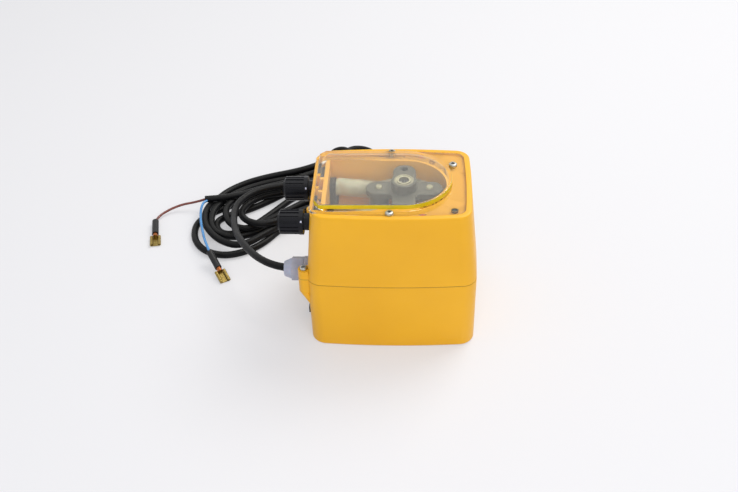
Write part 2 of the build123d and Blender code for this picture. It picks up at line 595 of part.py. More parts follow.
def make_cover():
    left_x = left_wall_x(0, RIM_Z) + FIT_GAP
    flange = cover_outline(COVER_RIM + FIT_GAP, left_x)
    flange = fillet(flange.vertices().group_by(Axis.X)[0], COVER_CORNER_R)
    cover = Pos(0, 0, DECK_Z) * extrude(flange, RIM_Z - DECK_Z)
    cover += plateau(0, RIM_Z, PLATEAU_TOP_Z)
    cover = fillet(cover.edges().group_by(Axis.Z)[-1], COVER_EDGE_R)
    cover -= plateau(COVER_WALL, DECK_Z, PLATEAU_TOP_Z - COVER_WALL)
    for x, y in COVER_SCREWS:
        cover -= rod(COVER_SCREW_R + FIT_GAP, DECK_Z, RIM_Z, x, y)
    cover -= rod(SPARE_HOLE_R, DECK_Z, RIM_Z, *COVER_SPARE_HOLE)
    lx, ly, lz = [size - 2 * FIT_GAP for size in HOOK_SIZE]
    for side in SIDES:
        cover += Pos(HOOK_X, side * HOOK_Y, DECK_Z - lz) * Box(lx, ly, lz, align=UP)
    return cover


save("lower_housing", make_lower_housing())
save("upper_housing", make_upper_housing())
save("housing_seal", seal_ring(SEAM_Z - SEAL_SIZE, SEAM_Z))
save("clear_cover", make_cover())
save("cover_screws", *[pan_screw(x, y, RIM_Z, COVER_HEAD_R, COVER_HEAD_H, COVER_SCREW_R, COVER_SCREW_LENGTH)
                       for x, y in COVER_SCREWS])
save("housing_screws", *[pan_screw(-LUG_OUT, side * LUG_Y, LUG_TOP_Z, LUG_HEAD_R, LUG_HEAD_H,
                                   LUG_SCREW_R, LUG_SCREW_LENGTH) for side in SIDES])
wall_bracket = bracket()
for hole_x, hole_y in BRACKET_SCREWS:
    wall_bracket -= rod(BRACKET_HOLE_R, 0, BRACKET_T, hole_x, hole_y)
save("wall_bracket", wall_bracket)


# ---- ports ------------------------------------------------------------------------------------
def connector(y):
    """Hose connector: flange in its slot, threaded neck outside, barb inside."""
    flange_left = SLOT_LEFT_X + FIT_GAP
    flange_right = SLOT_RIGHT_X - FIT_GAP
    half_y = SLOT_HALF_Y - FIT_GAP
    body = block((flange_left, y - half_y, SLOT_BOTTOM_Z), (flange_right, y + half_y, FLANGE_Z_TOP))
    body = fillet(body.edges().filter_by(Axis.X).group_by(Axis.Z)[-1], 1.5)
    neck = rod_x(NECK_R, NECK_TIP_X, flange_left, y, PORT_Z)
    body += chamfer(neck.edges().group_by(Axis.X)[0], 0.6)
    body += rod_x(SPIGOT_R, SPIGOT_TIP_X, flange_left, y, PORT_Z)
    body += rod_x(INNER_TUBE_R, flange_right, HOSE_X, y, PORT_Z)
    barb = rod_x(BARB_R, flange_right, BARB_TIP_X, y, PORT_Z)
    body += chamfer(barb.edges().group_by(Axis.X)[-1], 1.0)
    return body - rod_x(PORT_BORE_R, SPIGOT_TIP_X, BARB_TIP_X, y, PORT_Z)


def clip(y):
    """Retaining clip that is pushed over the connector's inner tube."""
    low = block((CLIP_X, y - CLIP_HALF_Y, CLIP_BOTTOM_Z), (CLIP_X + CLIP_THICK, y + CLIP_HALF_Y, CLIP_TOP_Z))
    body = fillet(low.edges().filter_by(Axis.X).group_by(Axis.Z)[-1], CLIP_CORNER_R)
    body += block((CLIP_X, y - CLIP_HALF_Y, CLIP_BOTTOM_Z),
                  (CLIP_X + CLIP_THICK + CLIP_FOOT, y + CLIP_HALF_Y, CLIP_BOTTOM_Z + CLIP_FOOT_H))
    return body - rod_x(INNER_TUBE_R + RUN_GAP, CLIP_X, CLIP_X + CLIP_THICK, y, PORT_Z)


def union_nut(y):
    """Ribbed union nut with a flange at the housing and a hole for the outer hose."""
    right = NUT_FACE_X + NUT_LENGTH
    body = rod_x(NUT_ROOT_R, NUT_FACE_X, right, y, PORT_Z)
    body = chamfer(body.edges().group_by(Axis.X)[0], 0.8)
    rib_length = NUT_LENGTH - NUT_FLANGE_W
    rib = Pos(NUT_FACE_X + rib_length / 2 + 0.5, 0, (NUT_ROOT_R + NUT_RIB_R) / 2 - 0.4)
    rib = rib * Box(rib_length - 1.0, NUT_RIB_W, NUT_RIB_R - NUT_ROOT_R + 0.8)
    for step in range(NUT_RIBS):
        body += Pos(0, y, PORT_Z) * Rot(360 * step / NUT_RIBS, 0, 0) * rib
    body += rod_x(NUT_FLANGE_R, right - NUT_FLANGE_W, right, y, PORT_Z)
    body += rod_x(NUT_COLLAR_R, NUT_FACE_X - NUT_COLLAR_H, NUT_FACE_X, y, PORT_Z)
    body -= rod_x(NUT_BORE_R, NUT_FACE_X + NUT_END_WALL, right, y, PORT_Z)
    return body - rod_x(NUT_HOSE_R, NUT_FACE_X - NUT_COLLAR_H, right, y, PORT_Z)


def grip_ring(y):
    """Ring that the nut pushes onto the outer hose."""
    left = NUT_FACE_X + NUT_END_WALL + END_GAP
    ring = rod_x(GRIP_RING_R, left, left + GRIP_RING_W, y, PORT_Z)
    return ring - rod_x(GRIP_RING_BORE_R, left, left + GRIP_RING_W, y, PORT_Z)


for port, side in (("rear", 1), ("front", -1)):
    save(f"{port}_connector", connector(side * PORT_Y))
    save(f"{port}_clip", clip(side * PORT_Y))
    save(f"{port}_union_nut", union_nut(side * PORT_Y))
    save(f"{port}_grip_ring", grip_ring(side * PORT_Y))


# ---- pump hose --------------------------------------------------------------------------------
def hose_section(x, y, z, thick, high):
    """Oval section of the hose, across its run."""
    return Plane(origin=(x, y, z), x_dir=(0, 1, 0), z_dir=(1, 0, 0)) * Ellipse(thick / 2, high / 2)


def hose_leg(side):
    """One leg from its connector to the race, flattening on the way."""
    sections = []
    for x, y, rise, thick, high in HOSE_LEG:
        sections.append(hose_section(x, side * y, HOSE_RACE_Z + rise, thick, high).face())
    end = hose_section(AXIS_X, side * HOSE_RACE_Y, HOSE_RACE_Z, HOSE_PRESSED, HOSE_PRESSED_H)
    start = hose_section(HOSE_X, side * PORT_Y, PORT_Z, 2 * HOSE_R, 2 * HOSE_R)
    return loft([start.face()] + sections + [end.face()])


def make_hose():
    section = hose_section(AXIS_X, -HOSE_RACE_Y, HOSE_RACE_Z, HOSE_PRESSED, HOSE_PRESSED_H)
    axis = Axis((AXIS_X, 0, 0), (0, 0, 1))
    hose = revolve(section, axis, 180)
    for side in SIDES:
        hose += hose_leg(side)
        hose -= rod_x(HOSE_BORE_R + RUN_GAP, HOSE_X, BARB_TIP_X + 1, side * PORT_Y, PORT_Z)
    return hose


save("pump_hose", make_hose())


# ---- rotor ------------------------------------------------------------------------------------
def arm_outline():
    """Four-armed plate: two arms over the rollers and two guide lobes."""
    arms = SlotOverall(2 * ARM_REACH, 2 * ARM_END_R)
    lobes = Rot(0, 0, 90) * SlotOverall(2 * LOBE_REACH, 2 * LOBE_END_R)
    cross = arms + lobes
    inner = [v for v in cross.vertices() if Vector(v.X, v.Y, 0).length < PIN_CIRCLE_R]
    return fillet(inner, ARM_FILLET_R)


def make_rotor_frame():
    body = Pos(AXIS_X, 0, ROTOR_PLATE_LOW_Z) * extrude(arm_outline(), ROTOR_PLATE_T)
    body = chamfer(body.edges().group_by(Axis.Z)[-1], 0.5)
    hub = rod(HUB_R, ROTOR_PLATE_Z, HUB_TOP_Z, AXIS_X)
    body += fillet(hub.edges().group_by(Axis.Z)[-1], 0.8)
    body += rod(COLUMN_R, ROTOR_LOW_Z + ROTOR_BASE_T, ROTOR_PLATE_Z, AXIS_X)
    for side in SIDES:
        body -= rod(LOBE_HOLE_R, ROTOR_PLATE_LOW_Z, ROTOR_PLATE_Z, AXIS_X, side * LOBE_HOLE_CIRCLE_R)
        body -= rod(PIN_R + RUN_GAP, ROTOR_PLATE_LOW_Z, ROTOR_PLATE_Z, AXIS_X + side * PIN_CIRCLE_R)
    body -= rod(BEARING_R + RUN_GAP, BEARING_LOW_Z, HUB_TOP_Z, AXIS_X)
    body -= rod(SHAFT_R + RUN_GAP, 0, SHAFT_TOP_Z, AXIS_X)
    return body - rod(HUB_SCREW_R + RUN_GAP, 0, HUB_TOP_Z, AXIS_X)


def make_rotor_base():
    plate = SlotOverall(2 * (PIN_CIRCLE_R + ROTOR_BASE_END_R), 2 * COLUMN_R)
    body = Pos(AXIS_X, 0, ROTOR_LOW_Z) * extrude(plate, ROTOR_BASE_T)
    for side in SIDES:
        body -= rod(PIN_R + RUN_GAP, ROTOR_LOW_Z, RIM_Z, AXIS_X + side * PIN_CIRCLE_R)
    return body - rod(SHAFT_R + RUN_GAP, ROTOR_LOW_Z, RIM_Z, AXIS_X)


def roller(side):
    """Pressing roller that turns freely on its pin."""
    x = AXIS_X + side * PIN_CIRCLE_R
    body = rod(ROLLER_R, ROLLER_LOW_Z, ROLLER_TOP_Z, x)
    body = chamfer(body.edges(), ROLLER_EDGE)
    return body - rod(PIN_R + RUN_GAP, ROLLER_LOW_Z, ROLLER_TOP_Z, x)


def roller_pin(side):
    """Roller pin with a domed head on the plate."""
    x = AXIS_X + side * PIN_CIRCLE_R
    head = rod(PIN_HEAD_R, ROTOR_PLATE_Z, ROTOR_PLATE_Z + PIN_HEAD_H, x)
    head = fillet(head.edges().group_by(Axis.Z)[-1], PIN_HEAD_H * 0.6)
    return head + rod(PIN_R, ROTOR_LOW_Z, ROTOR_PLATE_Z, x)


def make_hub_bearing():
    inner, outer, depth = BEARING_GROOVE
    ring = rod(BEARING_R, BEARING_LOW_Z, HUB_TOP_Z, AXIS_X)
    groove = rod(outer, HUB_TOP_Z - depth, HUB_TOP_Z, AXIS_X)
    groove -= rod(inner, HUB_TOP_Z - depth, HUB_TOP_Z, AXIS_X)
    return ring - groove - rod(BEARING_BORE_R, BEARING_LOW_Z, HUB_TOP_Z, AXIS_X)


def make_hub_screw():
    head_top = BEARING_LOW_Z + HUB_SCREW_HEAD_H
    body = rod(HUB_SCREW_HEAD_R, BEARING_LOW_Z, head_top, AXIS_X)
    body += rod(HUB_SCREW_R, BEARING_LOW_Z - HUB_SCREW_LENGTH, BEARING_LOW_Z, AXIS_X)
    socket = extrude(RegularPolygon(HUB_SOCKET_AF / 2, 6, major_radius=False), HUB_SOCKET_DEPTH)
    return body - Pos(AXIS_X, 0, head_top - HUB_SOCKET_DEPTH) * socket


def make_shaft():
    body = rod(SHAFT_R, SHAFT_BOTTOM_Z, SHAFT_TOP_Z, AXIS_X)
    return body - rod(HUB_SCREW_R + RUN_GAP, BEARING_LOW_Z - HUB_SCREW_LENGTH - END_GAP, SHAFT_TOP_Z, AXIS_X)


save("rotor_frame", make_rotor_frame())
save("rotor_base", make_rotor_base())
save("left_roller", roller(-1))
save("right_roller", roller(1))
save("roller_pins", roller_pin(-1), roller_pin(1))
save("hub_bearing", make_hub_bearing())
save("rotor_screw", make_hub_screw())
save("drive_shaft", make_shaft())


# ---- gear motor -------------------------------------------------------------------------------
def make_shaft_bush():
    body = rod(BUSH_R, GEARBOX_TOP_Z, CHAMBER_FLOOR_Z, AXIS_X)
    body += rod(BUSH_FLANGE_R, CHAMBER_FLOOR_Z, CHAMBER_FLOOR_Z + BUSH_FLANGE_T, AXIS_X)
    return body - rod(SHAFT_R + RUN_GAP, GEARBOX_TOP_Z, CHAMBER_FLOOR_Z + BUSH_FLANGE_T, AXIS_X)


def make_gearbox():
    lx, ly = GEARBOX_SIZE
    body = extrude(RectangleRounded(lx, ly, GEARBOX_CORNER_R), GEARBOX_HEIGHT)
    waist = extrude(RectangleRounded(lx, ly, GEARBOX_CORNER_R), GEARBOX_RIB)
    inner_x, inner_y = lx - 2 * GEARBOX_RIB, ly - 2 * GEARBOX_RIB
    waist -= extrude(RectangleRounded(inner_x, inner_y, GEARBOX_CORNER_R), GEARBOX_RIB)
    for level in (0.25, 0.5, 0.75):
        body -= Pos(0, 0, GEARBOX_HEIGHT * level - GEARBOX_RIB / 2) * waist
    body = Pos(AXIS_X, 0, GEARBOX_LOW_Z) * body
    for x, y in MOTOR_SCREWS:
        body -= rod(MOTOR_SCREW_R + FIT_GAP, GEARBOX_LOW_Z, GEARBOX_TOP_Z, x, y)
    return body - rod(SHAFT_R + RUN_GAP, SHAFT_BOTTOM_Z - END_GAP, GEARBOX_TOP_Z, AXIS_X)


def make_motor():
    low = GEARBOX_LOW_Z - MOTOR_LENGTH
    body = rod(MOTOR_R, low, GEARBOX_LOW_Z, AXIS_X)
    body = fillet(body.edges().group_by(Axis.Z)[0], 2.0)
    middle = GEARBOX_LOW_Z - MOTOR_LENGTH / 2
    body += rod(MOTOR_BAND_R, middle - MOTOR_BAND_LENGTH / 2, middle + MOTOR_BAND_LENGTH / 2, AXIS_X)
    return body + rod(MOTOR_TAIL_R, low - MOTOR_TAIL_LENGTH, low, AXIS_X)


def make_motor_screws():
    screws = []
    for x, y in MOTOR_SCREWS:
        head = rod(MOTOR_HEAD_R, GEARBOX_LOW_Z - MOTOR_HEAD_H, GEARBOX_LOW_Z, x, y)
        shank_top = GEARBOX_TOP_Z + MOTOR_SCREW_BITE - FIT_GAP
        screws.append(head + rod(MOTOR_SCREW_R, GEARBOX_LOW_Z, shank_top, x, y))
    return screws


def make_terminal_block():
    lx, ly, lz = TERMINAL_SIZE
    body = Pos(TERMINAL_X, GLAND_Y, TERMINAL_LOW_Z) * Box(lx, ly, lz, align=UP)
    pitch = ly / TERMINAL_WAYS
    for way in range(TERMINAL_WAYS):
        y = GLAND_Y - ly / 2 + (way + 0.5) * pitch
        body -= rod(TERMINAL_SCREW_R, TERMINAL_LOW_Z + lz / 2, TERMINAL_LOW_Z + lz, TERMINAL_X, y)
        body -= rod_x(CORE_R + FIT_GAP, TERMINAL_X - lx / 2, TERMINAL_X - 1, y, GLAND_Z)
    return body


def make_inner_leads():
    """Sheath end inside the gland and the two cores to the terminal block."""
    pitch = TERMINAL_SIZE[1] / TERMINAL_WAYS
    sheath_x = GLAND_INNER_X + 3
    leads = [rod_x(CABLE_R, CABLE_START_X, sheath_x, GLAND_Y, GLAND_Z)]
    for side in SIDES:
        near, far = GLAND_Y + side * LEAD_SPREAD / 2, GLAND_Y + side * pitch
        block_x = TERMINAL_X - TERMINAL_SIZE[0] / 2
        bends = [(sheath_x, near), (sheath_x + LEAD_STRAIGHT, near),
                 (block_x - LEAD_STRAIGHT, far), (block_x + LEAD_STRAIGHT, far)]
        line = FilletPolyline(*[(x, y, GLAND_Z) for x, y in bends], radius=LEAD_BEND_R)
        profile = Plane(origin=line @ 0, z_dir=line % 0) * Circle(CORE_R - FIT_GAP)
        leads.append(sweep(profile, line))
    return leads


save("shaft_bush", make_shaft_bush())
save("gearbox", make_gearbox())
save("motor", make_motor())
save("gearbox_screws", *make_motor_screws())
save("terminal_block", make_terminal_block())
save("inner_leads", *make_inner_leads())


# ---- cable gland ------------------------------------------------------------------------------
def make_gland_body():
    body = hex_x(GLAND_BODY_AF, GLAND_NECK_X, GLAND_SEAT_X, GLAND_Y, GLAND_Z)
    body += rod_x(GLAND_THREAD_R, GLAND_SEAT_X, GLAND_INNER_X, GLAND_Y, GLAND_Z)
    tip = GLAND_NECK_X - GLAND_NECK_W
    body += rod_x(GLAND_NECK_R, tip, GLAND_NECK_X, GLAND_Y, GLAND_Z)
    body -= rod_x(GLAND_SEAL_R + FIT_GAP, tip, tip + GLAND_SEAL_W, GLAND_Y, GLAND_Z)
    return body - rod_x(CABLE_R + CABLE_GAP, tip, GLAND_INNER_X, GLAND_Y, GLAND_Z)


def make_gland_seal():
    tip = GLAND_NECK_X - GLAND_NECK_W
    seal = rod_x(GLAND_SEAL_R, tip, tip + GLAND_SEAL_W - FIT_GAP, GLAND_Y, GLAND_Z)
    return seal - rod_x(CABLE_R + CABLE_GAP, tip, tip + GLAND_SEAL_W, GLAND_Y, GLAND_Z)


def make_gland_nut():
    right = GLAND_NECK_X - END_GAP
    dome_x = right - GLAND_NUT_W
    body = hex_x(GLAND_NUT_AF, dome_x, right, GLAND_Y, GLAND_Z)
    dome = cone_x(GLAND_DOME_R, GLAND_DOME_TIP_R, dome_x, dome_x - GLAND_DOME_W, GLAND_Y, GLAND_Z)
    body += fillet(dome.edges().group_by(Axis.X)[0], 1.4)
    tip = GLAND_NECK_X - GLAND_NECK_W - FIT_GAP
    body -= rod_x(GLAND_NECK_R + FIT_GAP, tip, right, GLAND_Y, GLAND_Z)
    return body - rod_x(GLAND_HOLE_R, dome_x - GLAND_DOME_W, right, GLAND_Y, GLAND_Z)


def make_locknut():
    right = GLAND_BACK_X + LOCKNUT_W
    nut = hex_x(LOCKNUT_AF, GLAND_BACK_X, right, GLAND_Y, GLAND_Z)
    return nut - rod_x(GLAND_THREAD_R + RUN_GAP, GLAND_BACK_X, right, GLAND_Y, GLAND_Z)


save("gland_body", make_gland_body())
save("gland_seal", make_gland_seal())
save("gland_nut", make_gland_nut())
save("gland_locknut", make_locknut())


# ---- mains cable, cores and terminals -----------------------------------------------------------
def corner_radii(points):
    """Largest arc at each corner of a route: 0.45 of the shorter run over the half turn's tangent."""
    radii = []
    for i in range(1, len(points) - 1):
        before = Vector(*points[i]) - Vector(*points[i - 1])
        after = Vector(*points[i + 1]) - Vector(*points[i])
        half_turn = radians(before.get_angle(after)) / 2
        radii.append(0.45 * min(before.length, after.length) / tan(half_turn))
    return radii


def from_gland(points):
    """Places with their X measured from where the cable leaves the gland."""
    return [(CABLE_START_X + x, y, z) for x, y, z in points]


def tube(name, points, radius):
    """Round tube along a route of straight runs and tangent arcs."""
    radii = corner_radii(points)
    line = FilletPolyline(*points, radius=radii)
    solid = sweep(Plane(origin=line @ 0, z_dir=line % 0) * Circle(radius), line)
    share = solid.volume / (pi * radius ** 2 * line.length)
    print(f"{name}: length {line.length:.1f}, volume share {share:.4f}, radii", [round(r, 1) for r in radii])
    save(name, solid)


def coil_outline(inset):
    """Outline round the coil's turns, drawn in by an inset."""
    rings = [Pos(CABLE_START_X + x, y) * Circle(radius - inset) for x, y, radius in COIL_CIRCLES]
    return make_hull([edge for ring in rings for edge in ring.edges()])


def make_coil():
    body = extrude(coil_outline(0), COIL_HEIGHT)
    body = fillet(body.edges().group_by(Axis.Z)[-1], COIL_EDGE_R)
    return body - extrude(coil_outline(COIL_BAND), COIL_HEIGHT)


def boot_plane(ends):
    """Plane at a boot's start that looks along it, with its X level."""
    along = (Vector(*ends[1]) - Vector(*ends[0])).normalized()
    level = Vector(-along.Y, along.X, 0)
    return Plane(origin=ends[0], z_dir=along, x_dir=level)


def boot(ends):
    """Insulating sleeve over a terminal's crimp."""
    sleeve = Cylinder(BOOT_R, BOOT_LENGTH, align=UP) - Cylinder(CORE_R + RUN_GAP, BOOT_GRIP, align=UP)
    sleeve -= Pos(0, 0, BOOT_GRIP) * Cylinder(CRIMP_R + RUN_GAP, BOOT_LENGTH, align=UP)
    return boot_plane(ends) * sleeve


def receptacle(ends):
    """Push-on receptacle: crimp in the boot, then a sheet with both edges curled over."""
    crimp_top = BOOT_LENGTH + CRIMP_OUT
    body = Pos(0, 0, BOOT_GRIP) * Cylinder(CRIMP_R, crimp_top - BOOT_GRIP + 1, align=UP)
    drop = CRIMP_R - RECEPTACLE_SHEET / 2
    sheet = Pos(0, -drop, crimp_top) * Box(RECEPTACLE_W - 2 * RECEPTACLE_CURL_R, RECEPTACLE_SHEET,
                                           RECEPTACLE_L, align=UP)
    curl_y = RECEPTACLE_CURL_R - CRIMP_R
    for side in SIDES:
        place = Pos(side * (RECEPTACLE_W / 2 - RECEPTACLE_CURL_R), curl_y, crimp_top)
        curl = Cylinder(RECEPTACLE_CURL_R, RECEPTACLE_L, align=UP)
        curl -= Cylinder(RECEPTACLE_CURL_R - RECEPTACLE_SHEET, RECEPTACLE_L, align=UP)
        gap = Pos(-side * RECEPTACLE_CURL_R, 0, 0) * Box(2 * RECEPTACLE_CURL_R, RECEPTACLE_CURL_R,
                                                         RECEPTACLE_L, align=UP)
        sheet += place * (curl - gap)
    return boot_plane(ends) * (body + sheet)


tube("cable_lead", from_gland(LEAD_ROUTE), CABLE_R)
tube("cable_tail", from_gland(TAIL_ROUTE), CABLE_R)
save("cable_coil", make_coil())
for colour, route, ends in (("brown", BROWN_ROUTE, BROWN_BOOT), ("blue", BLUE_ROUTE, BLUE_BOOT)):
    ends = from_gland(ends)
    start = Vector(*ends[0])
    grip_end = start + (Vector(*ends[1]) - start).normalized() * BOOT_GRIP
    tube(f"core_{colour}", from_gland(route) + [tuple(start), tuple(grip_end)], CORE_R)
    save(f"boot_{colour}", boot(ends))
    save(f"receptacle_{colour}", receptacle(ends))
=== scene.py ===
"""Dressed model of a peristaltic metering pump: materials, cable, fittings and studio."""

from math import cos, pi, radians, sin

import bmesh
import bpy
from mathutils import Matrix, Vector


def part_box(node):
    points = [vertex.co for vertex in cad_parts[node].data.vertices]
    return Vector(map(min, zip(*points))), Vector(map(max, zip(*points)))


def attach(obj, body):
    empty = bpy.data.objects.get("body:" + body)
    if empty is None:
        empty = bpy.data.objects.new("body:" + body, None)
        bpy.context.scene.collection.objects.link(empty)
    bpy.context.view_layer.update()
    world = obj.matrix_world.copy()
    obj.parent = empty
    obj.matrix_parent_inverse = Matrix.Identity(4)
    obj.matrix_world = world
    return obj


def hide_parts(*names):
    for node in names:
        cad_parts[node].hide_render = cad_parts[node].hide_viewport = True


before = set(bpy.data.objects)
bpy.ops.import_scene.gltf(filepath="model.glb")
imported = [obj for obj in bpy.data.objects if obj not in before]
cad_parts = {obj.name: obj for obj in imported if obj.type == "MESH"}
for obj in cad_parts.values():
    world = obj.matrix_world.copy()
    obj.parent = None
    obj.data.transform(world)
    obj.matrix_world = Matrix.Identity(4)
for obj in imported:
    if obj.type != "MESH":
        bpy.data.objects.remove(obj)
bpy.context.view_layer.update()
scene = bpy.context.scene
MM = 0.001
SHAFT_X = 0.0094             # the rotor's axis
SEAM_Z = 0.0604              # joint between the two halves of the housing
STEP_LOW, STEP_HIGH = 0.1226, 0.1277    # heights of the cover's step
STEP_FOOT_Z = 0.1241         # below this the cover's step is clear
CRIMP_REACH = 0.0145         # crimp barrel, from the middle of the boot

# Camera, lens and room ---------------------------------------------------------------------

eye = bpy.data.cameras.new("eye")
eye.sensor_width = 36.0
eye.lens = 53.66
eye.clip_start, eye.clip_end = 0.05, 20.0
camera = bpy.data.objects.new("camera", eye)
camera.matrix_world = Matrix((
    (0.99877, -0.00392, 0.04944, 0.024731),
    (0.04142, 0.61433, -0.78796, -0.706029),
    (-0.02728, 0.78904, 0.61373, 0.609623),
    (0.0, 0.0, 0.0, 1.0),
))
scene.collection.objects.link(camera)
scene.camera = camera
scene.view_settings.view_transform = "Standard"


def rgb(code):
    """Linear colour of an sRGB hex code."""
    parts = [int(code[i:i + 2], 16) / 255 for i in (0, 2, 4)]
    line = [p / 12.92 if p <= 0.04045 else ((p + 0.055) / 1.055) ** 2.4 for p in parts]
    return (*line, 1.0)


def add(tree, kind, wires=(), **settings):
    """Add a shader node; wires give its inputs a value or what feeds them."""
    made = tree.nodes.new("ShaderNode" + kind)
    for name, value in settings.items():
        setattr(made, name, value)
    for socket, source in dict(wires).items():
        if isinstance(source, bpy.types.NodeSocket):
            tree.links.new(source, made.inputs[socket])
        else:
            made.inputs[socket].default_value = source
    return made


def blank(name):
    """A new material with an empty tree and its output."""
    coat = bpy.data.materials.new(name)
    coat.use_nodes = True
    coat.node_tree.nodes.clear()
    return coat, coat.node_tree, add(coat.node_tree, "OutputMaterial")


